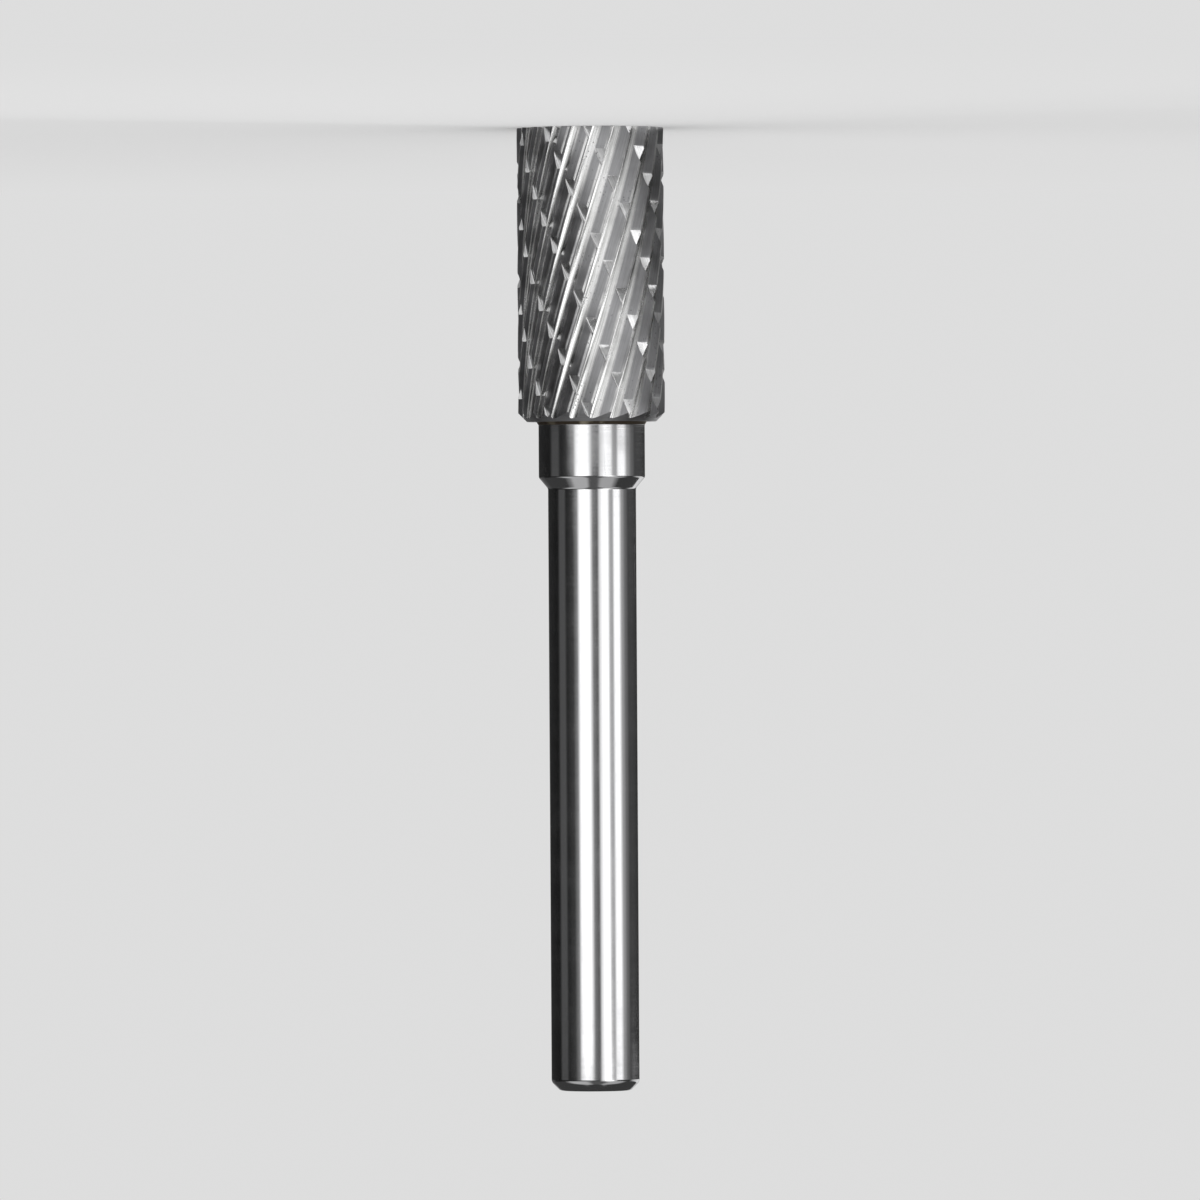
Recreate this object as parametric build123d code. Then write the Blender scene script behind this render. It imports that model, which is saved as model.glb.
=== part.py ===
"""Cylindrical double-cut carbide burr, plain end, brazed to a collared steel shank.

Units are millimetres. The burr stands on the flat end of its head: the origin is the centre
of that end face, +Z runs along the tool's axis towards the shank, and z = 0 is the floor.

Three pieces make the tool:
  carbide_head  sintered tungsten carbide, ground with right-hand main flutes and crossed by
                shallower left-hand chip breakers
  shank         one turned and ground steel piece: spigot, collar, shoulder and round shank
  braze_joint   the film of braze between the two, with a small bead round the collar
"""

from build123d import *
from math import cos, degrees, radians, sin, tan
import os

# Head
head_diameter = 10.0
head_length = 20.0
back_bevel = 0.6

# Main flutes: right-hand helix, right-hand cut; angles in degrees
flute_count = 21
flute_helix_angle = 17.75
flute_start_angle = -3.9
flute_depth = 0.38
flute_floor_width = 0.46
flute_floor_rise = 0.02
land_width = 0.13
rake_slope = 12.0

# Chip breakers: left-hand helix, shallower than the flutes, steep on one side only
breaker_count = 10
breaker_helix_angle = 26.0
breaker_start_angle = 17.9
breaker_depth = 0.34
breaker_steep_slope = 14.0
breaker_back_slope = 21.0

# Shank
shank_diameter = 6.0
shank_length = 41.0
shank_end_chamfer = 0.6
collar_diameter = 7.25
collar_length = 3.7
collar_edge_break = 0.12
shoulder_length = 0.75

# Spigot that locates the head, and the braze round it
spigot_diameter = 4.0
spigot_length = 2.5
spigot_chamfer = 0.4
braze_gap = 0.1
braze_bead = 0.14

# Cutting tools run past the metal that they cut by this much
overrun = 0.5

head_radius = head_diameter / 2
collar_radius = collar_diameter / 2
shank_radius = shank_diameter / 2
spigot_radius = spigot_diameter / 2
collar_face = head_length + braze_gap
shoulder_start = collar_face + collar_length
shank_start = shoulder_start + shoulder_length
tool_end = shank_start + shank_length


def polar(radius, angle):
    """Point of the XY plane at a radius and an angle in degrees."""
    return (radius * cos(radians(angle)), radius * sin(radians(angle)))


def twist_angle(helix_angle, length):
    """Turn in degrees that a helix on the head's surface makes over a length."""
    return degrees(length * tan(radians(helix_angle)) / head_radius)


def twisted(section, start, length, turn):
    """Section drawn at z = 0, extruded along Z from start while it turns evenly about the axis."""
    placed = section.face().moved(Location((0, 0, start)))
    return Solid.extrude_linear_with_rotation(placed, (0, 0, start), (0, 0, length), turn)


def turned(profile):
    """Solid turned about Z from a closed profile of radius and height."""
    return revolve(Plane.XZ * make_face(profile), axis=Axis.Z)


def fluted_section():
    """Cross-section of the head: teeth with a land, a back slope, a hollow floor and a rake face."""
    pitch = 360 / flute_count
    floor_radius = head_radius - flute_depth
    land_angle = degrees(land_width / head_radius)
    rake_angle = degrees(flute_depth * tan(radians(rake_slope)) / head_radius)
    floor_angle = degrees(flute_floor_width / head_radius)
    outline = []
    for tooth in range(flute_count):
        edge = flute_start_angle + tooth * pitch
        toe_angle = edge + pitch - rake_angle
        land_middle = polar(head_radius, edge + land_angle / 2)
        land_end = polar(head_radius, edge + land_angle)
        floor_start = polar(floor_radius + flute_floor_rise, toe_angle - floor_angle)
        toe = polar(floor_radius, toe_angle)
        back_slope = Line(land_end, floor_start)
        outline += [
            ThreePointArc(polar(head_radius, edge), land_middle, land_end),
            back_slope,
            TangentArc(floor_start, toe, tangent=back_slope % 1),
            Line(toe, polar(head_radius, edge + pitch)),
        ]
    return make_face(outline)


def breaker_section():
    """Cross-section of one chip breaker, drawn where +X points out of the head's surface."""
    rise = breaker_depth + overrun
    root = head_radius - breaker_depth
    return make_face(
        Polyline(
            (root, 0),
            (root + rise, rise * tan(radians(breaker_steep_slope))),
            (root + rise, -rise / tan(radians(breaker_back_slope))),
            close=True,
        )
    )


def breaker_cutters():
    start = -overrun
    length = head_length + 2 * overrun
    turn = -twist_angle(breaker_helix_angle, length)
    first_angle = breaker_start_angle + twist_angle(breaker_helix_angle, overrun)
    cutter = twisted(breaker_section(), start, length, turn)
    pitch = 360 / breaker_count
    return [cutter.rotate(Axis.Z, first_angle + index * pitch) for index in range(breaker_count)]


def back_bevel_ring():
    """Ring of metal that the bevel takes off the head's back rim."""
    profile = Polyline(
        (head_radius - back_bevel - overrun, head_length + overrun),
        (head_radius + overrun, head_length - back_bevel - overrun),
        (head_radius + overrun, head_length + overrun),
        close=True,
    )
    return turned(profile)


def spigot_form(skin):
    """The spigot with a skin of that thickness all round it; the skin reaches the head's back face."""
    top = collar_face
    bottom = collar_face - braze_gap - spigot_length - skin
    radius = spigot_radius + skin
    profile = Polyline(
        (0, top),
        (radius, top),
        (radius, bottom + spigot_chamfer),
        (radius - spigot_chamfer, bottom),
        (0, bottom),
        close=True,
    )
    return turned(profile)


def carbide_head():
    body = twisted(fluted_section(), 0, head_length, twist_angle(flute_helix_angle, head_length))
    cross_cut = body.cut(*breaker_cutters())
    return cross_cut.cut(*back_bevel_ring().solids()).cut(*spigot_form(braze_gap).solids())


def shank():
    profile = Polyline(
        (0, collar_face),
        (collar_radius - collar_edge_break, collar_face),
        (collar_radius, collar_face + collar_edge_break),
        (collar_radius, shoulder_start),
        (shank_radius, shank_start),
        (shank_radius, tool_end - shank_end_chamfer),
        (shank_radius - shank_end_chamfer, tool_end),
        (0, tool_end),
        close=True,
    )
    return turned(profile) + spigot_form(0)


def braze_joint():
    rim = collar_radius + braze_bead
    film = turned(
        Polyline(
            (0, head_length),
            (rim, head_length),
            (collar_radius, collar_face + collar_edge_break),
            (collar_radius - collar_edge_break, collar_face),
            (0, collar_face),
            close=True,
        )
    )
    return film + spigot_form(braze_gap) - spigot_form(0)


if __name__ == "__main__":
    os.makedirs("parts", exist_ok=True)
    for name, build in (("carbide_head", carbide_head), ("shank", shank), ("braze_joint", braze_joint)):
        export_step(build(), f"parts/{name}.step")
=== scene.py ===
import math
import bmesh
import bpy
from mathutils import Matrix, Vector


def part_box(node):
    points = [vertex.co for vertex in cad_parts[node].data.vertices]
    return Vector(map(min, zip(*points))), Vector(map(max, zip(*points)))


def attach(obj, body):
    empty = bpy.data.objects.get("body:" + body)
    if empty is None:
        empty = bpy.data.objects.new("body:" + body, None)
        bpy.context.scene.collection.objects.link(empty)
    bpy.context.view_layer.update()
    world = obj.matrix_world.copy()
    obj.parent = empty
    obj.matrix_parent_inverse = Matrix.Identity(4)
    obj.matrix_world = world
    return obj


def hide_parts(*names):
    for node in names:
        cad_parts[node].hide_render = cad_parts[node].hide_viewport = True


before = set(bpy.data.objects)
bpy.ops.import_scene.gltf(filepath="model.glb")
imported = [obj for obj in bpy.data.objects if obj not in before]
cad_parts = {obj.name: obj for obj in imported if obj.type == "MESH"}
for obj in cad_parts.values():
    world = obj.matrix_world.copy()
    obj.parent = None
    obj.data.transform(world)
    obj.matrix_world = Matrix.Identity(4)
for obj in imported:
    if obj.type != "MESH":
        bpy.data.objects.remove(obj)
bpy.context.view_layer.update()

headLow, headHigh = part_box("carbide_head")
shankLow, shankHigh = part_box("shank")
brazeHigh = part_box("braze_joint")[1]
mm = 0.001
fullTurn = 2 * math.pi
placeTolerance = 0.001 * mm                       # for picking corners and edges by their place
mergeDistance = 0.0005 * mm
cutThreshold = 0.0001 * mm                        # bisect's own default is too coarse in metres


# Small helpers for working on one piece at a time

def clearSelection():
    if bpy.context.object and bpy.context.object.mode != "OBJECT":
        bpy.ops.object.mode_set(mode="OBJECT")
    bpy.ops.object.select_all(action="DESELECT")


def makeActive(piece):
    clearSelection()
    piece.select_set(True)
    bpy.context.view_layer.objects.active = piece


def startPiece(name):                             # the primitive just added gets its name
    piece = bpy.context.object
    piece.name = name
    bpy.ops.object.transform_apply(location=True, rotation=True, scale=True)
    bpy.ops.object.mode_set(mode="EDIT")
    return piece


def pick(piece, kind, wanted):                    # selects by place, in edit mode
    bpy.ops.mesh.select_mode(type=kind)
    bpy.ops.mesh.select_all(action="DESELECT")
    mesh = bmesh.from_edit_mesh(piece.data)
    for item in {"VERT": mesh.verts, "EDGE": mesh.edges, "FACE": mesh.faces}[kind]:
        if wanted(item):
            item.select_set(True)
    mesh.select_flush_mode()
    bmesh.update_edit_mesh(piece.data)


def atHeight(height, radius=None):                # picks a ring of edges round the axis
    def wanted(edge):
        level = all(abs(end.co.z - height) < placeTolerance for end in edge.verts)
        if radius is None or not level:
            return level
        return all(abs(math.hypot(end.co.x, end.co.y) - radius) < 2 * placeTolerance for end in edge.verts)
    return wanted


def runsAlong(edge, length):                      # true for the long edges of an extrusion
    return abs(edge.verts[0].co.z - edge.verts[1].co.z) > length / 2


def applyModifier(piece, kind, **settings):
    makeActive(piece)
    modifier = piece.modifiers.new(kind.title(), kind)
    for setting, value in settings.items():
        setattr(modifier, setting, value)
    bpy.ops.object.modifier_apply(modifier=modifier.name)


def cutWith(piece, cutter, operation="DIFFERENCE"):
    applyModifier(piece, "BOOLEAN", object=cutter, operation=operation, solver="EXACT",
                  material_mode="TRANSFER")
    bpy.data.objects.remove(cutter)


def tidyMesh(piece):
    makeActive(piece)
    bpy.ops.object.mode_set(mode="EDIT")
    bpy.ops.mesh.select_mode(type="VERT")
    bpy.ops.mesh.select_all(action="SELECT")
    bpy.ops.mesh.remove_doubles(threshold=mergeDistance)
    bpy.ops.mesh.normals_make_consistent(inside=False)
    bpy.ops.object.mode_set(mode="OBJECT")


def smoothBy(piece, degrees):
    makeActive(piece)
    bpy.ops.object.shade_smooth_by_angle(angle=math.radians(degrees))


def twistAngle(degrees, length, radius):          # turn of a helix over a length
    return length * math.tan(math.radians(degrees)) / radius


def twistPiece(piece, turn):                      # evenly, from the lowest point to the highest
    applyModifier(piece, "SIMPLE_DEFORM", deform_method="TWIST", deform_axis="Z", angle=turn)


def turnPiece(piece, angle):                      # turns the mesh about the burr's axis
    makeActive(piece)
    piece.rotation_euler = (0, 0, angle)
    bpy.ops.object.transform_apply(location=True, rotation=True, scale=True)


# Carbide head: fluted bar, turned ends, chip breakers and socket

head = {
    "flutes": 21,
    "fluteHelix": 17.75,                          # degrees, right hand
    "fluteStart": -3.9,                           # degrees round the axis, at the flat end
    "fluteDepth": 0.38 * mm,
    "floorWidth": 0.46 * mm,                      # hollow floor of the gullet
    "floorRise": 0.02 * mm,                       # from the rake face to the back slope
    "rakeLean": 12.0,                             # degrees from radial
    "land": 0.13 * mm,
    "gulletSteps": 5,
    "hold": 0.03 * mm,                            # flat left beside each curved part
    "rings": 60,                                  # steps of each twist
    "breakers": 10,
    "breakerHelix": 26.0,                         # degrees, left hand
    "breakerDepth": 0.34 * mm,
    "breakerSlope": 21.0,                         # degrees, back slope
    "breakerRake": 14.0,                          # degrees from radial
    "breakerRadius": 0.12 * mm,
    "breakerRadiusSteps": 5,
    "breakerStart": 17.9,                         # degrees round the axis
    "backBevel": 0.60 * mm,
    "frontBevel": 0.05 * mm,
    "blankSides": 192,
    "overrun": 0.5 * mm,                          # how far each cutter runs past the metal
    "socketRadius": 2.1 * mm,
    "socketDepth": 2.6 * mm,
    "socketBevel": 0.4 * mm,
    "socketSides": 96,
    "smoothAngle": 28,                            # degrees
}
headRadius = headHigh.x
headLength = headHigh.z - headLow.z


def toothPoints():                                # one tooth: distance along the rim, height off it
    pitch = fullTurn * headRadius / head["flutes"]
    depth, land, hold = head["fluteDepth"], head["land"], head["hold"]
    toeX = pitch - depth * math.tan(math.radians(head["rakeLean"]))
    startX, startY = toeX - head["floorWidth"], head["floorRise"] - depth
    slope = math.atan2(startY, startX - land)
    chord = math.atan2(-depth - startY, toeX - startX)
    radius = math.hypot(toeX - startX, depth + startY) / 2 / math.sin(chord - slope)
    points = [(0.0, 0.0), (land, 0.0)]
    for back in (land + hold, startX - hold):     # keeps the back slope flat between its ends
        points.append((back, math.tan(slope) * (back - land)))
    for index in range(head["gulletSteps"] + 1):  # arc that leaves the back slope along its line
        angle = slope + 2 * (chord - slope) * index / head["gulletSteps"]
        across = radius * (math.sin(angle) - math.sin(slope))
        points.append((startX + across, startY - radius * (math.cos(angle) - math.cos(slope))))
    return points


def flutedBar():
    points = toothPoints()
    count = len(points) * head["flutes"]
    clearSelection()
    bpy.ops.mesh.primitive_circle_add(vertices=count, radius=headRadius, rotation=(0, 0, -math.pi / 2))
    bar = startPiece("burrHead")
    for index, (along, height) in enumerate(points):
        pick(bar, "VERT", lambda corner: corner.index % len(points) == index)
        scale = 1 + height / headRadius
        bpy.ops.transform.resize(value=(scale, scale, 1), center_override=(0, 0, 0))
        turn = along / headRadius - index * fullTurn / count
        bpy.ops.transform.rotate(value=-turn, orient_axis="Z", center_override=(0, 0, 0))
    bpy.ops.mesh.select_all(action="SELECT")
    bpy.ops.mesh.edge_face_add()
    length = headLength + 2 * head["overrun"]
    bpy.ops.transform.translate(value=(0, 0, headLow.z - head["overrun"]))
    bpy.ops.mesh.extrude_region_move(TRANSFORM_OT_translate={"value": (0, 0, length)})
    pick(bar, "EDGE", lambda edge: runsAlong(edge, length))
    bpy.ops.mesh.subdivide(number_cuts=head["rings"] - 1)
    bpy.ops.mesh.select_all(action="SELECT")
    bpy.ops.mesh.normals_make_consistent(inside=False)
    bpy.ops.object.mode_set(mode="OBJECT")
    twistPiece(bar, twistAngle(head["fluteHelix"], length, headRadius))
    ahead = twistAngle(head["fluteHelix"], head["overrun"], headRadius)
    turnPiece(bar, math.radians(head["fluteStart"]) - ahead)
    return bar


def turnedBlank():                                # gives the ends and their bevels
    margin = head["overrun"]
    clearSelection()
    bpy.ops.mesh.primitive_cylinder_add(vertices=head["blankSides"], radius=headRadius + margin,
                                        depth=headLength, location=(0, 0, headLow.z + headLength / 2))
    blank = startPiece("turnedBlank")
    for height, bevel in ((headHigh.z, head["backBevel"]), (headLow.z, head["frontBevel"])):
        pick(blank, "EDGE", atHeight(height))
        bpy.ops.mesh.bevel(offset=bevel + margin, offset_type="OFFSET", segments=1)
    bpy.ops.object.mode_set(mode="OBJECT")
    return blank


def breakerCutters():
    depth, over = head["breakerDepth"], head["overrun"]
    length = headLength + 4 * over
    slopeWidth = (depth + over) / math.tan(math.radians(head["breakerSlope"]))
    rakeWidth = (depth + over) * math.tan(math.radians(head["breakerRake"]))
    low = headLow.z - 2 * over
    clearSelection()
    bpy.ops.mesh.primitive_circle_add(vertices=3, radius=headRadius, location=(0, 0, low))
    cutter = startPiece("breakerCutter")
    bpy.ops.mesh.select_all(action="SELECT")
    bpy.ops.transform.resize(value=(0, 0, 1), center_override=(0, 0, 0))
    root = headRadius - depth
    corners = ((root, 0), (headRadius + over, rakeWidth), (headRadius + over, -slopeWidth))
    for index, (x, y) in enumerate(corners):      # the three corners leave the axis one by one
        pick(cutter, "VERT", lambda corner: corner.index == index)
        bpy.ops.transform.translate(value=(x, y, 0))
    bpy.ops.mesh.select_all(action="SELECT")
    bpy.ops.mesh.edge_face_add()
    bpy.ops.mesh.extrude_region_move(TRANSFORM_OT_translate={"value": (0, 0, length)})
    pick(cutter, "EDGE", lambda edge: all(abs(end.co.x - root) < placeTolerance for end in edge.verts))
    bpy.ops.mesh.bevel(offset=head["breakerRadius"], offset_type="OFFSET",
                       segments=head["breakerRadiusSteps"])
    pick(cutter, "EDGE", lambda edge: runsAlong(edge, length))
    bpy.ops.mesh.subdivide(number_cuts=head["rings"] - 1)
    bpy.ops.mesh.select_all(action="SELECT")
    bpy.ops.mesh.normals_make_consistent(inside=False)
    bpy.ops.object.mode_set(mode="OBJECT")
    twistPiece(cutter, -twistAngle(head["breakerHelix"], length, headRadius))
    turned = []
    start = math.radians(head["breakerStart"]) + twistAngle(head["breakerHelix"], 2 * over, headRadius)
    for index in range(head["breakers"]):
        makeActive(cutter)
        bpy.ops.object.duplicate(linked=False)
        copy = bpy.context.object
        turnPiece(copy, start + index * fullTurn / head["breakers"])
        turned.append(copy)
    bpy.data.objects.remove(cutter)
    clearSelection()
    for copy in turned:
        copy.select_set(True)
    bpy.context.view_layer.objects.active = turned[0]
    bpy.ops.object.join()
    return turned[0]


def socketCutter():
    depth = head["socketDepth"] + head["overrun"]
    bottom = headHigh.z - head["socketDepth"]
    clearSelection()
    bpy.ops.mesh.primitive_cylinder_add(vertices=head["socketSides"], radius=head["socketRadius"],
                                        depth=depth, location=(0, 0, bottom + depth / 2))
    cutter = startPiece("socketCutter")
    pick(cutter, "EDGE", atHeight(bottom))
    bpy.ops.mesh.bevel(offset=head["socketBevel"], offset_type="OFFSET", segments=1)
    bpy.ops.object.mode_set(mode="OBJECT")
    return cutter


def makeHead():
    bar = flutedBar()
    bar.data.materials.append(fluteMaterial)
    blank = turnedBlank()
    blank.data.materials.append(endMaterial)
    cutWith(bar, blank, "INTERSECT")
    cutters = breakerCutters()
    cutters.data.materials.append(breakerMaterial)
    cutWith(bar, cutters)
    cutWith(bar, socketCutter())
    tidyMesh(bar)
    smoothBy(bar, head["smoothAngle"])
    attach(bar, "root")
    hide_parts("carbide_head")
    print("head done:", len(bar.data.vertices), "corners", len(bar.data.polygons), "faces")


# Steel shank: spigot, collar, shoulder and ground round

shank = {
    "spigotRadius": 2.0 * mm,
    "spigotBevel": 0.4 * mm,
    "collarRadius": 3.625 * mm,
    "collarLength": 3.7 * mm,
    "collarEdge": 0.12 * mm,
    "collarEdgeSteps": 2,
    "shoulderLength": 0.75 * mm,
    "shoulderEdge": 0.09 * mm,
    "shoulderEdgeSteps": 4,
    "roundRadius": 3.0 * mm,
    "endChamfer": 0.6 * mm,
    "endRound": 0.16 * mm,
    "endRoundSteps": 6,
    "hold": 0.03 * mm,                            # flat left beside each rounding
    "sides": 256,
    "smoothAngle": 50,                            # degrees
}


def extrudeRing(rise, scale=1.0):                 # what is selected, up the axis and then wider
    bpy.ops.mesh.extrude_region_move(TRANSFORM_OT_translate={"value": (0, 0, rise)})
    if scale != 1.0:
        bpy.ops.transform.resize(value=(scale, scale, 1), center_override=(0, 0, 0))


def makeShank():
    collarFace = brazeHigh.z - shank["collarEdge"]
    shoulder = collarFace + shank["collarLength"]
    roundStart = shoulder + shank["shoulderLength"]
    clearSelection()
    bpy.ops.mesh.primitive_circle_add(vertices=shank["sides"], radius=shank["spigotRadius"],
                                      fill_type="NGON", location=(0, 0, shankLow.z))
    piece = startPiece("steelShank")
    bpy.ops.mesh.select_all(action="SELECT")
    extrudeRing(collarFace - shankLow.z)
    extrudeRing(0, shank["collarRadius"] / shank["spigotRadius"])
    extrudeRing(shoulder - collarFace)
    extrudeRing(roundStart - shoulder, shank["roundRadius"] / shank["collarRadius"])
    extrudeRing(shankHigh.z - roundStart)
    bpy.ops.mesh.select_all(action="SELECT")
    bpy.ops.mesh.normals_make_consistent(inside=False)
    chamferStart = shankHigh.z - shank["endChamfer"]
    chamferTop = shank["roundRadius"] - shank["endChamfer"]
    edges = (                                     # height, radius, width and steps of each bevel
        (shankLow.z, shank["spigotRadius"], shank["spigotBevel"], 1),
        (collarFace, shank["collarRadius"], shank["collarEdge"], shank["collarEdgeSteps"]),
        (shoulder, shank["collarRadius"], shank["shoulderEdge"], shank["shoulderEdgeSteps"]),
        (roundStart, shank["roundRadius"], shank["shoulderEdge"], shank["shoulderEdgeSteps"]),
        (shankHigh.z, shank["roundRadius"], shank["endChamfer"], 1),
        (chamferStart, shank["roundRadius"], shank["endRound"], shank["endRoundSteps"]),
        (shankHigh.z, chamferTop, shank["endRound"], shank["endRoundSteps"]),
    )
    for height, radius, width, steps in edges:
        pick(piece, "EDGE", atHeight(height, radius))
        bpy.ops.mesh.bevel(offset=width, offset_type="OFFSET", segments=steps)
    rings = (                                     # beside each bevel, to keep the flats flat
        collarFace + shank["collarEdge"] + shank["hold"],
        shoulder - shank["shoulderEdge"] - shank["hold"],
        roundStart + shank["shoulderEdge"] + shank["hold"],
        chamferStart - shank["endRound"] - shank["hold"],
    )
    for height in rings:
        bpy.ops.mesh.select_all(action="SELECT")
        bpy.ops.mesh.bisect(plane_co=(0, 0, height), plane_no=(0, 0, 1), threshold=cutThreshold)
    bpy.ops.object.mode_set(mode="OBJECT")
    piece.data.materials.append(steelMaterial)
    tidyMesh(piece)
    smoothBy(piece, shank["smoothAngle"])
    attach(piece, "root")
    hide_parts("shank")
    print("shank done:", len(piece.data.polygons), "faces")


# Finishes: marks left by grinding and polishing, on Object coordinates

def addNode(tree, kind, **settings):              # sockets are given as inputs={name or number: value}
    node = tree.nodes.new(kind)
    values = settings.pop("inputs", {})
    for setting, value in settings.items():
        setattr(node, setting, value)
    for socket, value in values.items():
        node.inputs[socket].default_value = value
    return node


def newGroup(name, inputs, outputs):
    group = bpy.data.node_groups.new(name, "ShaderNodeTree")
    for socket, kind, value in inputs:
        made = group.interface.new_socket(socket, in_out="INPUT", socket_type=kind)
        made.default_value = value
    for socket, kind in outputs:
        group.interface.new_socket(socket, in_out="OUTPUT", socket_type=kind)
    return group, group.nodes.new("NodeGroupInput"), group.nodes.new("NodeGroupOutput")


def startMaterial(name):                          # bare metal
    material = bpy.data.materials.new(name)
    material.use_nodes = True
    shader = material.node_tree.nodes["Principled BSDF"]
    shader.inputs["Metallic"].default_value = 1
    return material, material.node_tree, shader


def useGroup(tree, group, **values):
    node = tree.nodes.new("ShaderNodeGroup")
    node.node_tree = group
    for socket, value in values.items():
        node.inputs[socket].default_value = value
    return node


def between(tree, factor, span, blend="LINEAR"):  # span: factor from, to, and the values there
    node = addNode(tree, "ShaderNodeMapRange", interpolation_type=blend, inputs=dict(enumerate(span, 1)))
    tree.links.new(factor, node.inputs["Value"])
    return node.outputs["Result"]


def blendColours(tree, factor, first, second, mode="MIX"):
    node = addNode(tree, "ShaderNodeMix", data_type="RGBA", blend_type=mode)
    for socket, value in ((0, factor), (6, first), (7, second)):
        if isinstance(value, (tuple, float, int)):
            node.inputs[socket].default_value = (*value, 1) if isinstance(value, tuple) else value
        else:
            tree.links.new(value, node.inputs[socket])
    return node.outputs[2]


def combine(tree, operation, first, second):
    node = addNode(tree, "ShaderNodeMath", operation=operation)
    for socket, value in enumerate((first, second)):
        if isinstance(value, (float, int)):
            node.inputs[socket].default_value = value
        else:
            tree.links.new(value, node.inputs[socket])
    return node.outputs[0]


def fromAxis(tree, place):                        # distance from the burr's axis, and the way outwards
    flat = addNode(tree, "ShaderNodeVectorMath", operation="MULTIPLY", inputs={1: (1, 1, 0)})
    reach = addNode(tree, "ShaderNodeVectorMath", operation="LENGTH")
    tree.links.new(place.outputs["Object"], flat.inputs[0])
    tree.links.new(flat.outputs[0], reach.inputs[0])
    return reach.outputs["Value"], flat.outputs[0]


def bumpFrom(tree, height, distance):
    bump = addNode(tree, "ShaderNodeBump", inputs={"Strength": 1.0, "Distance": distance})
    tree.links.new(height, bump.inputs["Height"])
    return bump.outputs["Normal"]


grinding = {                                      # patterns that every ground face shares
    "streakDetail": 3.0,
    "ringsPerMetre": 12000.0,                     # turned rings, by distance from the axis and height
    "ringBreaksPerMetre": 260.0,                  # along its way round
    "cloudsPerMetre": 520.0, "cloudDetail": 5.0,
    "specksPerMetre": 4200.0,
    "speckSpan": (0.08, 0.26, 1.0, 0.0),          # fades out between these shares of the spacing
}


def groundFinish():                               # streaks that wind round the axis, rings, clouds, specks
    group, given, result = newGroup(
        "groundFinish",
        (("Twist", "NodeSocketFloat", 0.0), ("Across", "NodeSocketFloat", 9000.0),
         ("Along", "NodeSocketFloat", 300.0), ("Seed", "NodeSocketFloat", 0.0)),
        (("Marks", "NodeSocketFloat"), ("Rings", "NodeSocketFloat"), ("Clouds", "NodeSocketFloat"),
         ("Specks", "NodeSocketFloat")),
    )
    link = group.links.new
    place = addNode(group, "ShaderNodeTexCoord")
    split = addNode(group, "ShaderNodeSeparateXYZ")
    link(place.outputs["Object"], split.inputs[0])

    def noise(detail, scale=1.0):
        node = addNode(group, "ShaderNodeTexNoise", noise_dimensions="4D",
                       inputs={"Scale": scale, "Detail": detail})
        link(given.outputs["Seed"], node.inputs["W"])
        return node

    # Marks: long streaks, on a place that is unwound by the twist and stretched along the axis
    unwound = addNode(group, "ShaderNodeVectorRotate", rotation_type="Z_AXIS")
    stretch = addNode(group, "ShaderNodeCombineXYZ")
    scaled = addNode(group, "ShaderNodeVectorMath", operation="MULTIPLY")
    marks = noise(grinding["streakDetail"])
    link(place.outputs["Object"], unwound.inputs["Vector"])
    link(combine(group, "MULTIPLY", split.outputs["Z"], given.outputs["Twist"]), unwound.inputs["Angle"])
    for axis, stretching in (("X", "Across"), ("Y", "Across"), ("Z", "Along")):
        link(given.outputs[stretching], stretch.inputs[axis])
    link(unwound.outputs[0], scaled.inputs[0])
    link(stretch.outputs[0], scaled.inputs[1])
    link(scaled.outputs[0], marks.inputs["Vector"])
    link(marks.outputs["Fac"], result.inputs["Marks"])

    # Rings: the same all round but for small breaks
    radius, _ = fromAxis(group, place)
    ringPlace = addNode(group, "ShaderNodeCombineXYZ")
    ringScale = addNode(group, "ShaderNodeVectorMath", operation="SCALE",
                        inputs={"Scale": grinding["ringsPerMetre"]})
    breaks = (grinding["ringBreaksPerMetre"], grinding["ringBreaksPerMetre"], 0)
    breakUp = addNode(group, "ShaderNodeVectorMath", operation="MULTIPLY_ADD", inputs={1: breaks})
    rings = noise(grinding["streakDetail"])
    link(radius, ringPlace.inputs["X"])
    link(split.outputs["Z"], ringPlace.inputs["Y"])
    link(ringPlace.outputs[0], ringScale.inputs[0])
    link(place.outputs["Object"], breakUp.inputs[0])
    link(ringScale.outputs[0], breakUp.inputs[2])
    link(breakUp.outputs[0], rings.inputs["Vector"])
    link(rings.outputs["Fac"], result.inputs["Rings"])

    # Clouds and specks
    clouds = noise(grinding["cloudDetail"], grinding["cloudsPerMetre"])
    specks = addNode(group, "ShaderNodeTexVoronoi", inputs={"Scale": grinding["specksPerMetre"]})
    link(place.outputs["Object"], clouds.inputs["Vector"])
    link(place.outputs["Object"], specks.inputs["Vector"])
    link(clouds.outputs["Fac"], result.inputs["Clouds"])
    link(between(group, specks.outputs["Distance"], grinding["speckSpan"]), result.inputs["Specks"])
    return group


groundFinishGroup = groundFinish()


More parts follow.
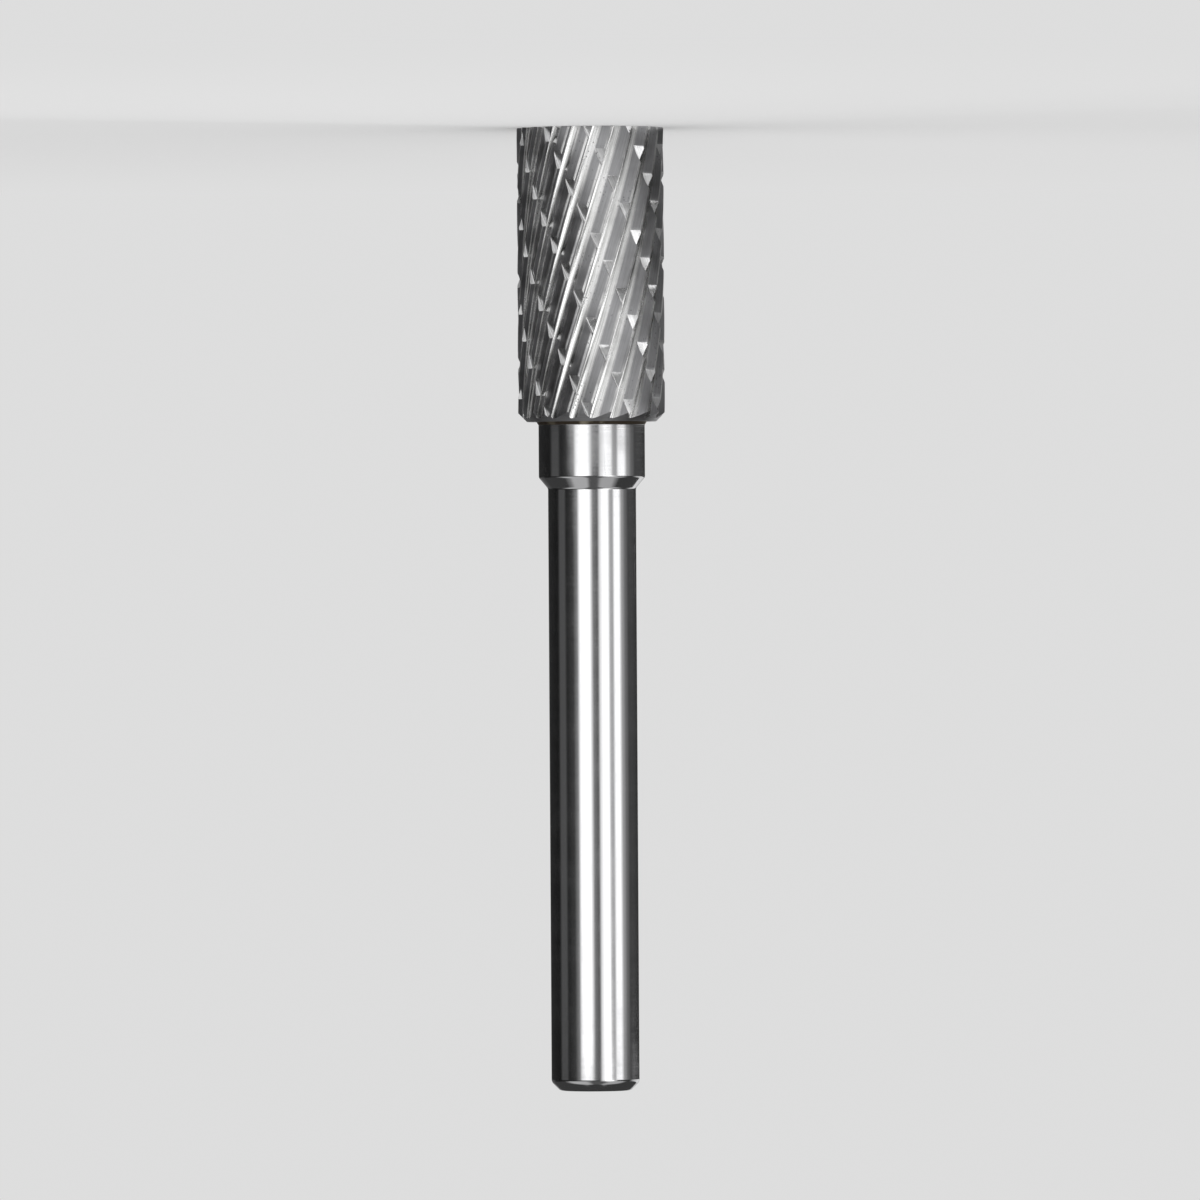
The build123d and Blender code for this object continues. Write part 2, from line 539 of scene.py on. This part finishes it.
carbide = {
    "gulletHighlightColour": (0.95, 0.95, 0.94),           # near-white: a painted highlight along the gullet floors
    "slopeColour": (0.42, 0.42, 0.43),            # duller back slopes
    "rakeShadeColour": (0.15, 0.15, 0.155),            # painted shade: rake faces above the gullet darkened to a dark grey
    # near-white cut faces of the breakers: a painted highlight
    "breakerHighlightColour": (0.92, 0.92, 0.92),
    "endColour": (0.52, 0.52, 0.53),
    "pitColour": (0.16, 0.16, 0.17),
    "gulletRoughness": 0.18,
    "slopeRoughness": 0.40,
    "breakerRoughness": 0.30,
    "endRoughness": 0.38,
    "gulletHighlightBand": 0.12 * mm,                      # how far up from the floor the painted highlight band reaches
    "gulletHighlightFull": 0.3,                            # share of that band at the painted highlight's full strength
    "edgeBand": 0.035 * mm,                       # worn rim of the cutting edges, tinted near-white as a painted highlight
    "markDepth": 0.004 * mm,
    "fluteMarks": {"Across": 16000.0, "Along": 420.0, "Seed": 1.0},
    "breakerMarks": {"Across": 14000.0, "Along": 420.0, "Seed": 2.0},
    "endMarks": {"Seed": 3.0},
    # spans: pattern from, to, and the values there
    "rakeFacing": (0.55, 0.85, 0.0, 1.0),         # by how squarely a face meets the cut, placing the painted shade on the rake faces
    "streakShade": (0.3, 0.7, 0.80, 1.14),
    "cloudShade": (0.35, 0.65, 0.86, 1.12),
    "pits": (0.48, 0.62, 0.0, 0.9),
    "cloudRoughness": (0.35, 0.65, -0.07, 0.10),
    "pitRoughness": 0.2,
    "edgeWearAndHighlight": (0.4, 0.6, 0.1, 0.8),
    "edgePolish": 0.12,                           # roughness that the wear takes off
    "breakerDulling": (0.4, 0.65, 0.0, 0.4),
}


def cutDepth():                                   # 0 at the bottom of a gullet, 1 at the cutting edge
    group, given, result = newGroup(
        "cutDepth",
        (("Bottom", "NodeSocketFloat", 0.0), ("Top", "NodeSocketFloat", 1.0)),
        (("Height", "NodeSocketFloat"), ("Rake", "NodeSocketFloat")),
    )
    link = group.links.new
    place = addNode(group, "ShaderNodeTexCoord")
    radius, outwards = fromAxis(group, place)
    height = addNode(group, "ShaderNodeMapRange", interpolation_type="SMOOTHSTEP")
    link(radius, height.inputs["Value"])
    link(given.outputs["Bottom"], height.inputs[1])
    link(given.outputs["Top"], height.inputs[2])
    link(height.outputs["Result"], result.inputs["Height"])
    # Rake: faces that meet the cut squarely, where the painted shade goes
    ahead = addNode(group, "ShaderNodeVectorMath", operation="CROSS_PRODUCT", inputs={1: (0, 0, 1)})
    unit = addNode(group, "ShaderNodeVectorMath", operation="NORMALIZE")
    facing = addNode(group, "ShaderNodeVectorMath", operation="DOT_PRODUCT")
    link(outwards, ahead.inputs[0])
    link(ahead.outputs[0], unit.inputs[0])
    link(unit.outputs[0], facing.inputs[0])
    link(place.outputs["Normal"], facing.inputs[1])
    link(between(group, facing.outputs["Value"], carbide["rakeFacing"], "SMOOTHSTEP"), result.inputs["Rake"])
    return group


def carbideGrain():                               # streaks, clouds and pits of a ground carbide face
    group, given, result = newGroup(
        "carbideGrain",
        (("Tone", "NodeSocketColor", (0.5, 0.5, 0.5, 1)), ("Rough", "NodeSocketFloat", 0.4),
         ("Marks", "NodeSocketFloat", 0.5), ("Clouds", "NodeSocketFloat", 0.5),
         ("Specks", "NodeSocketFloat", 0.0)),
        (("Colour", "NodeSocketColor"), ("Roughness", "NodeSocketFloat"), ("Normal", "NodeSocketVector")),
    )
    marks, clouds = given.outputs["Marks"], given.outputs["Clouds"]
    shade = combine(group, "MULTIPLY", between(group, marks, carbide["streakShade"]),
                    between(group, clouds, carbide["cloudShade"]))
    colour = blendColours(group, 1.0, given.outputs["Tone"], shade, "MULTIPLY")
    pits = combine(group, "MULTIPLY", given.outputs["Specks"], between(group, clouds, carbide["pits"]))
    colour = blendColours(group, pits, colour, carbide["pitColour"])
    rough = combine(group, "ADD", given.outputs["Rough"], between(group, clouds, carbide["cloudRoughness"]))
    rough = combine(group, "ADD", rough, combine(group, "MULTIPLY", pits, carbide["pitRoughness"]))
    normal = bumpFrom(group, combine(group, "SUBTRACT", marks, pits), carbide["markDepth"])
    for socket, value in (("Colour", colour), ("Roughness", rough), ("Normal", normal)):
        group.links.new(value, result.inputs[socket])
    return group


cutDepthGroup, carbideGrainGroup = cutDepth(), carbideGrain()


def grainOver(tree, shader, finish, marks, tone, rough):
    grain = useGroup(tree, carbideGrainGroup)
    links = (("Tone", tone), ("Rough", rough), ("Marks", finish.outputs[marks]),
             ("Clouds", finish.outputs["Clouds"]), ("Specks", finish.outputs["Specks"]))
    for socket, value in links:
        if isinstance(value, float):
            grain.inputs[socket].default_value = value
        else:
            tree.links.new(value, grain.inputs[socket])
    tree.links.new(grain.outputs["Colour"], shader.inputs["Base Color"])
    tree.links.new(grain.outputs["Roughness"], shader.inputs["Roughness"])
    tree.links.new(grain.outputs["Normal"], shader.inputs["Normal"])


def fluteFinish():                                # right-hand marks, painted highlights in the gullets, painted shade on the rake faces, worn rims with a painted highlight
    material, tree, shader = startMaterial("fluteCarbide")
    twist = -math.tan(math.radians(head["fluteHelix"])) / headRadius
    finish = useGroup(tree, groundFinishGroup, Twist=twist, **carbide["fluteMarks"])
    bottom = headRadius - head["fluteDepth"]
    floor = useGroup(tree, cutDepthGroup, Bottom=bottom + carbide["gulletHighlightFull"] * carbide["gulletHighlightBand"],
                     Top=bottom + carbide["gulletHighlightBand"])
    rim = useGroup(tree, cutDepthGroup, Bottom=headRadius - carbide["edgeBand"], Top=headRadius)
    # painted highlight: near-white at the gullet floors, fading to the slope grey higher up
    tone = blendColours(tree, floor.outputs["Height"], carbide["gulletHighlightColour"], carbide["slopeColour"])
    # painted shade on the rake faces above the gullet
    wall = combine(tree, "MULTIPLY", floor.outputs["Height"], floor.outputs["Rake"])
    tone = blendColours(tree, wall, tone, carbide["rakeShadeColour"])
    # worn rim: real edge wear, tinted with the near-white colour as a painted edge highlight
    rimWearAndHighlight = combine(tree, "MULTIPLY", rim.outputs["Height"],
                   between(tree, finish.outputs["Clouds"], carbide["edgeWearAndHighlight"]))
    tone = blendColours(tree, rimWearAndHighlight, tone, carbide["gulletHighlightColour"])
    rough = between(tree, floor.outputs["Height"],
                    (0.0, 1.0, carbide["gulletRoughness"], carbide["slopeRoughness"]))
    rough = combine(tree, "SUBTRACT", rough, combine(tree, "MULTIPLY", rimWearAndHighlight, carbide["edgePolish"]))
    grainOver(tree, shader, finish, "Marks", tone, rough)
    return material


def breakerFinish():                              # left-hand marks, near-white faces as a painted highlight
    material, tree, shader = startMaterial("breakerCarbide")
    twist = math.tan(math.radians(head["breakerHelix"])) / headRadius
    finish = useGroup(tree, groundFinishGroup, Twist=twist, **carbide["breakerMarks"])
    dull = between(tree, finish.outputs["Clouds"], carbide["breakerDulling"])
    # painted highlight on the breaker faces, dulled in clouds to the end grey
    tone = blendColours(tree, dull, carbide["breakerHighlightColour"], carbide["endColour"])
    grainOver(tree, shader, finish, "Marks", tone, carbide["breakerRoughness"])
    return material


def endFinish():                                  # turned rings on the flat end and the bevels
    material, tree, shader = startMaterial("endCarbide")
    finish = useGroup(tree, groundFinishGroup, **carbide["endMarks"])
    tone = blendColours(tree, finish.outputs["Clouds"], carbide["endColour"], carbide["slopeColour"])
    grainOver(tree, shader, finish, "Rings", tone, carbide["endRoughness"])
    return material


steel = {
    "colour": (0.74, 0.74, 0.75),
    "dullColour": (0.64, 0.64, 0.65),
    "roughness": 0.085,
    "ringDepth": 0.0005 * mm,
    "scratches": {"Twist": 9.0, "Across": 9000.0, "Along": 60.0, "Seed": 4.0},   # run nearly straight
    # spans: pattern from, to, and the values there
    "ringRoughness": (0.35, 0.65, -0.015, 0.03),
    "cloudRoughness": (0.4, 0.65, -0.01, 0.035),
    "scratchLines": (0.68, 0.74, 0.0, 1.0),
    "scratchPatches": (0.45, 0.6, 0.0, 1.0),
    "scratchRoughness": 0.18,
}


def steelFinish():                                # centreless-ground rings under a polish, fine scratches
    material, tree, shader = startMaterial("polishedSteel")
    finish = useGroup(tree, groundFinishGroup, **steel["scratches"])
    ringed = between(tree, finish.outputs["Rings"], steel["ringRoughness"])
    clouded = between(tree, finish.outputs["Clouds"], steel["cloudRoughness"])
    scratches = combine(tree, "MULTIPLY", between(tree, finish.outputs["Marks"], steel["scratchLines"]),
                        between(tree, finish.outputs["Clouds"], steel["scratchPatches"]))
    rough = combine(tree, "ADD", combine(tree, "ADD", ringed, clouded), steel["roughness"])
    rough = combine(tree, "ADD", rough, combine(tree, "MULTIPLY", scratches, steel["scratchRoughness"]))
    tone = blendColours(tree, clouded, steel["colour"], steel["dullColour"])
    tone = blendColours(tree, scratches, tone, steel["dullColour"])
    tree.links.new(tone, shader.inputs["Base Color"])
    tree.links.new(rough, shader.inputs["Roughness"])
    tree.links.new(bumpFrom(tree, finish.outputs["Rings"], steel["ringDepth"]), shader.inputs["Normal"])
    return material


# Braze joint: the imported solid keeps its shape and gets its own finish

braze = {
    "colour": (0.62, 0.56, 0.42),
    "fluxColour": (0.10, 0.08, 0.06),             # burnt flux left in the corner
    "fluxSpan": (0.36, 0.52, 0.0, 1.0),           # clouds from, to, and the flux there
    "roughness": 0.35,
    "fluxRoughness": 0.3,
    "unevenness": 0.02 * mm,
    "seed": 5.0,
}


def brazeFinish():
    material, tree, shader = startMaterial("silverBraze")
    finish = useGroup(tree, groundFinishGroup, Seed=braze["seed"])
    flux = between(tree, finish.outputs["Clouds"], braze["fluxSpan"])
    tone = blendColours(tree, flux, braze["colour"], braze["fluxColour"])
    rough = combine(tree, "ADD", combine(tree, "MULTIPLY", flux, braze["fluxRoughness"]), braze["roughness"])
    tree.links.new(tone, shader.inputs["Base Color"])
    tree.links.new(rough, shader.inputs["Roughness"])
    tree.links.new(bumpFrom(tree, finish.outputs["Clouds"], braze["unevenness"]), shader.inputs["Normal"])
    return material


fluteMaterial, breakerMaterial, endMaterial = fluteFinish(), breakerFinish(), endFinish()
steelMaterial, brazeMaterial = steelFinish(), brazeFinish()
print("finishes done:", len(bpy.data.materials), "materials")

makeHead()
makeShank()
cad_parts["braze_joint"].data.materials.clear()
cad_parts["braze_joint"].data.materials.append(brazeMaterial)
print("braze joint finished")


# Studio

studio = {
    "floorRadius": 1.4, "wallHeight": 0.8, "sides": 128,
    "coveRadius": 0.35, "coveSteps": 12, "smoothAngle": 40,
    "colour": (0.75, 0.75, 0.75), "tone": 0.97,
    "shadeFrom": 0.03, "shadeTo": 0.16,           # distance from the burr
    "worldStrength": 0.75,
}


def paleMaterial():                               # shaded round the burr, one even tone further out
    material = bpy.data.materials.new("paleFloor")
    material.use_nodes = True
    tree = material.node_tree
    shader, output = tree.nodes["Principled BSDF"], tree.nodes["Material Output"]
    shader.inputs["Base Color"].default_value = (*studio["colour"], 1)
    shader.inputs["Roughness"].default_value = 1
    glow = addNode(tree, "ShaderNodeEmission",
                   inputs={"Color": (*studio["colour"], 1), "Strength": studio["tone"]})
    place = addNode(tree, "ShaderNodeTexCoord")
    reach = addNode(tree, "ShaderNodeVectorMath", operation="LENGTH")
    mix = addNode(tree, "ShaderNodeMixShader")
    tree.links.new(place.outputs["Object"], reach.inputs[0])
    fade = (studio["shadeFrom"], studio["shadeTo"], 0.0, 1.0)
    far = between(tree, reach.outputs["Value"], fade, "SMOOTHSTEP")
    tree.links.new(far, mix.inputs[0])
    tree.links.new(shader.outputs[0], mix.inputs[1])
    tree.links.new(glow.outputs[0], mix.inputs[2])
    tree.links.new(mix.outputs[0], output.inputs["Surface"])
    return material


def makeStage():
    clearSelection()
    bpy.ops.mesh.primitive_circle_add(vertices=studio["sides"], radius=studio["floorRadius"],
                                      fill_type="NGON")
    floor = startPiece("studioFloor")
    bpy.ops.mesh.select_all(action="SELECT")
    extrudeRing(studio["wallHeight"])
    bpy.ops.mesh.delete(type="ONLY_FACE")
    pick(floor, "EDGE", atHeight(0, studio["floorRadius"]))
    bpy.ops.mesh.bevel(offset=studio["coveRadius"], offset_type="OFFSET", segments=studio["coveSteps"])
    bpy.ops.object.mode_set(mode="OBJECT")
    floor.data.materials.append(paleMaterial())
    smoothBy(floor, studio["smoothAngle"])


screen = {                                        # soft light boxes round the burr, seen by metal alone
    "radius": 0.35, "height": 0.18, "sides": 180,
    "floorGap": 0.02 * mm, "inner": 5.3 * mm, "roofBand": 0.1 * mm,
    "boxes": (                                    # lowest point, then degrees from the camera: strength
        (0, {-180: 0.30, -155: 0.06, -120: 0.01, -60: 0.02, -50: 0.50, -40: 0.72, -20: 0.80, 0: 0.70,
             20: 0.56, 40: 0.30, 56: 0.05, 96: 0.02, 125: 0.25, 150: 0.45, 180: 0.30}),
        (14 * mm, {-180: 0.80, -172: 0.30, -165: 0.02, -104: 0.01, -94: 0.09, -80: 0.09, -72: 0.02,
                   -54: 0.04, -42: 0.22, -33: 1.4, -22: 1.9, -12: 1.7, 3: 0.20, 12: 0.12, 20: 1.1, 29: 1.7,
                   39: 1.5, 47: 0.50, 53: 0.45, 60: 1.4, 71: 1.5, 83: 0.40, 96: 0.16, 108: 0.06,
                   164: 0.03, 171: 0.60, 180: 0.80}),
        (80 * mm, {-180: 0.40, -155: 0.08, -120: 0.01, -60: 0.01, -36: 0.10, -10: 0.10, 10: 0.05, 22: 0.90,
                   32: 2.1, 44: 1.9, 54: 0.60, 62: 0.03, 100: 0.03, 125: 0.60, 150: 0.80, 180: 0.40}),
    ),
    "roofBoxes": {-180: 0.05, -95: 0.05, -84: 0.20, -72: 0.50, -28: 0.50, -8: 0.10, 22: 0.10, 44: 0.45,
                  78: 0.45, 88: 0.20, 95: 0.05, 180: 0.05},
    "roofMiddle": 0.05,                           # strength over the burr itself
    "roofFrom": 18 * mm, "roofFull": 27 * mm,     # where the roof's boxes begin and reach their strength
    "brightest": 2.5,
}


def boxGlow(tree, around, stops):                 # strength round the axis, blended between its stops
    ramp = addNode(tree, "ShaderNodeValToRGB")
    tree.links.new(around, ramp.inputs["Fac"])
    places = sorted((angle / 360 + 0.5, level / screen["brightest"]) for angle, level in stops.items())
    elements = ramp.color_ramp.elements
    elements[0].position, elements[1].position = places[0][0], places[-1][0]
    for place, level in places[1:-1]:
        elements.new(place)
    for element, (place, level) in zip(elements, places):
        element.color = (level, level, level, 1)
    ramp.color_ramp.interpolation = "EASE"
    return ramp.outputs["Color"]


def screenMaterial():
    material = bpy.data.materials.new("softBoxes")
    material.cycles.emission_sampling = "NONE"    # found by the rays that the metal sends out
    material.use_nodes = True
    tree = material.node_tree
    tree.nodes.clear()
    place = addNode(tree, "ShaderNodeTexCoord")
    split = addNode(tree, "ShaderNodeSeparateXYZ")
    tree.links.new(place.outputs["Object"], split.inputs[0])
    left = combine(tree, "MULTIPLY", split.outputs["X"], -1.0)
    near = combine(tree, "MULTIPLY", split.outputs["Y"], -1.0)
    around = between(tree, combine(tree, "ARCTAN2", left, near), (-math.pi, math.pi, 0.0, 1.0))
    glow = (0.0, 0.0, 0.0)
    for low, stops in screen["boxes"]:
        above = combine(tree, "GREATER_THAN", split.outputs["Z"], low)
        glow = blendColours(tree, above, glow, boxGlow(tree, around, stops))
    radius, _ = fromAxis(tree, place)
    outer = between(tree, radius, (screen["roofFrom"], screen["roofFull"], 0.0, 1.0), "SMOOTHSTEP")
    middle = screen["roofMiddle"] / screen["brightest"]
    roof = blendColours(tree, outer, (middle, middle, middle), boxGlow(tree, around, screen["roofBoxes"]))
    above = combine(tree, "GREATER_THAN", split.outputs["Z"], screen["height"] - screen["roofBand"])
    glow = blendColours(tree, above, glow, roof)
    light = addNode(tree, "ShaderNodeEmission", inputs={"Strength": screen["brightest"]})
    tree.links.new(glow, light.inputs["Color"])
    output = addNode(tree, "ShaderNodeOutputMaterial")
    tree.links.new(light.outputs[0], output.inputs["Surface"])
    return material


def makeScreen():                                 # floor ring, round wall and roof in one
    clearSelection()
    bpy.ops.mesh.primitive_circle_add(vertices=screen["sides"], radius=screen["radius"],
                                      location=(0, 0, screen["floorGap"]))
    piece = startPiece("lightScreen")
    bpy.ops.mesh.select_all(action="SELECT")
    extrudeRing(0, screen["inner"] / screen["radius"])
    pick(piece, "EDGE", atHeight(screen["floorGap"], screen["radius"]))
    extrudeRing(screen["height"] - screen["floorGap"])
    bpy.ops.mesh.edge_face_add()
    bpy.ops.object.mode_set(mode="OBJECT")
    piece.data.materials.append(screenMaterial())
    piece.visible_camera = False                  # only metal sees it
    piece.visible_diffuse = False
    piece.visible_shadow = False


softLight = {
    "place": (0, -0.2, 0.9),
    "tilt": -12,                                  # degrees
    "size": 0.8,
    "power": 2.5,
}


def makeSoftLight():
    clearSelection()
    bpy.ops.object.light_add(type="AREA", location=softLight["place"],
                             rotation=(math.radians(softLight["tilt"]), 0, 0))
    lamp = bpy.context.object
    lamp.name = "topSoftLight"
    lamp.data.shape = "DISK"
    lamp.data.size = softLight["size"]
    lamp.data.energy = softLight["power"]
    lamp.visible_glossy = False                   # metal sees the soft boxes instead


def makeWorld():
    world = bpy.data.worlds.new("studioWorld")
    bpy.context.scene.world = world
    world.use_nodes = True
    world.node_tree.nodes["Background"].inputs["Color"].default_value = (1, 1, 1, 1)
    world.node_tree.nodes["Background"].inputs["Strength"].default_value = studio["worldStrength"]


makeStage()
makeScreen()
makeSoftLight()
makeWorld()
print("studio done")


# Camera

camera = {
    "frameWidth": 81.73 * mm,                     # seen at the burr's axis
    "distance": 1000 * mm,
    "middleHeight": 32.15 * mm,
    "sideways": -0.495 * mm,
    "roll": 180.35,                               # degrees: the burr hangs head up in the frame
    "nearest": 0.01, "furthest": 10.0,            # clipping
}
clearSelection()
bpy.ops.object.camera_add(location=(camera["sideways"], -camera["distance"], camera["middleHeight"]),
                          rotation=(math.pi / 2, math.radians(camera["roll"]), 0))
view = bpy.context.object
view.rotation_mode = "XYZ"
view.data.lens = view.data.sensor_width * camera["distance"] / camera["frameWidth"]
view.data.clip_start, view.data.clip_end = camera["nearest"], camera["furthest"]
bpy.context.scene.camera = view
bpy.context.scene.view_settings.view_transform = "Standard"
print("camera done")
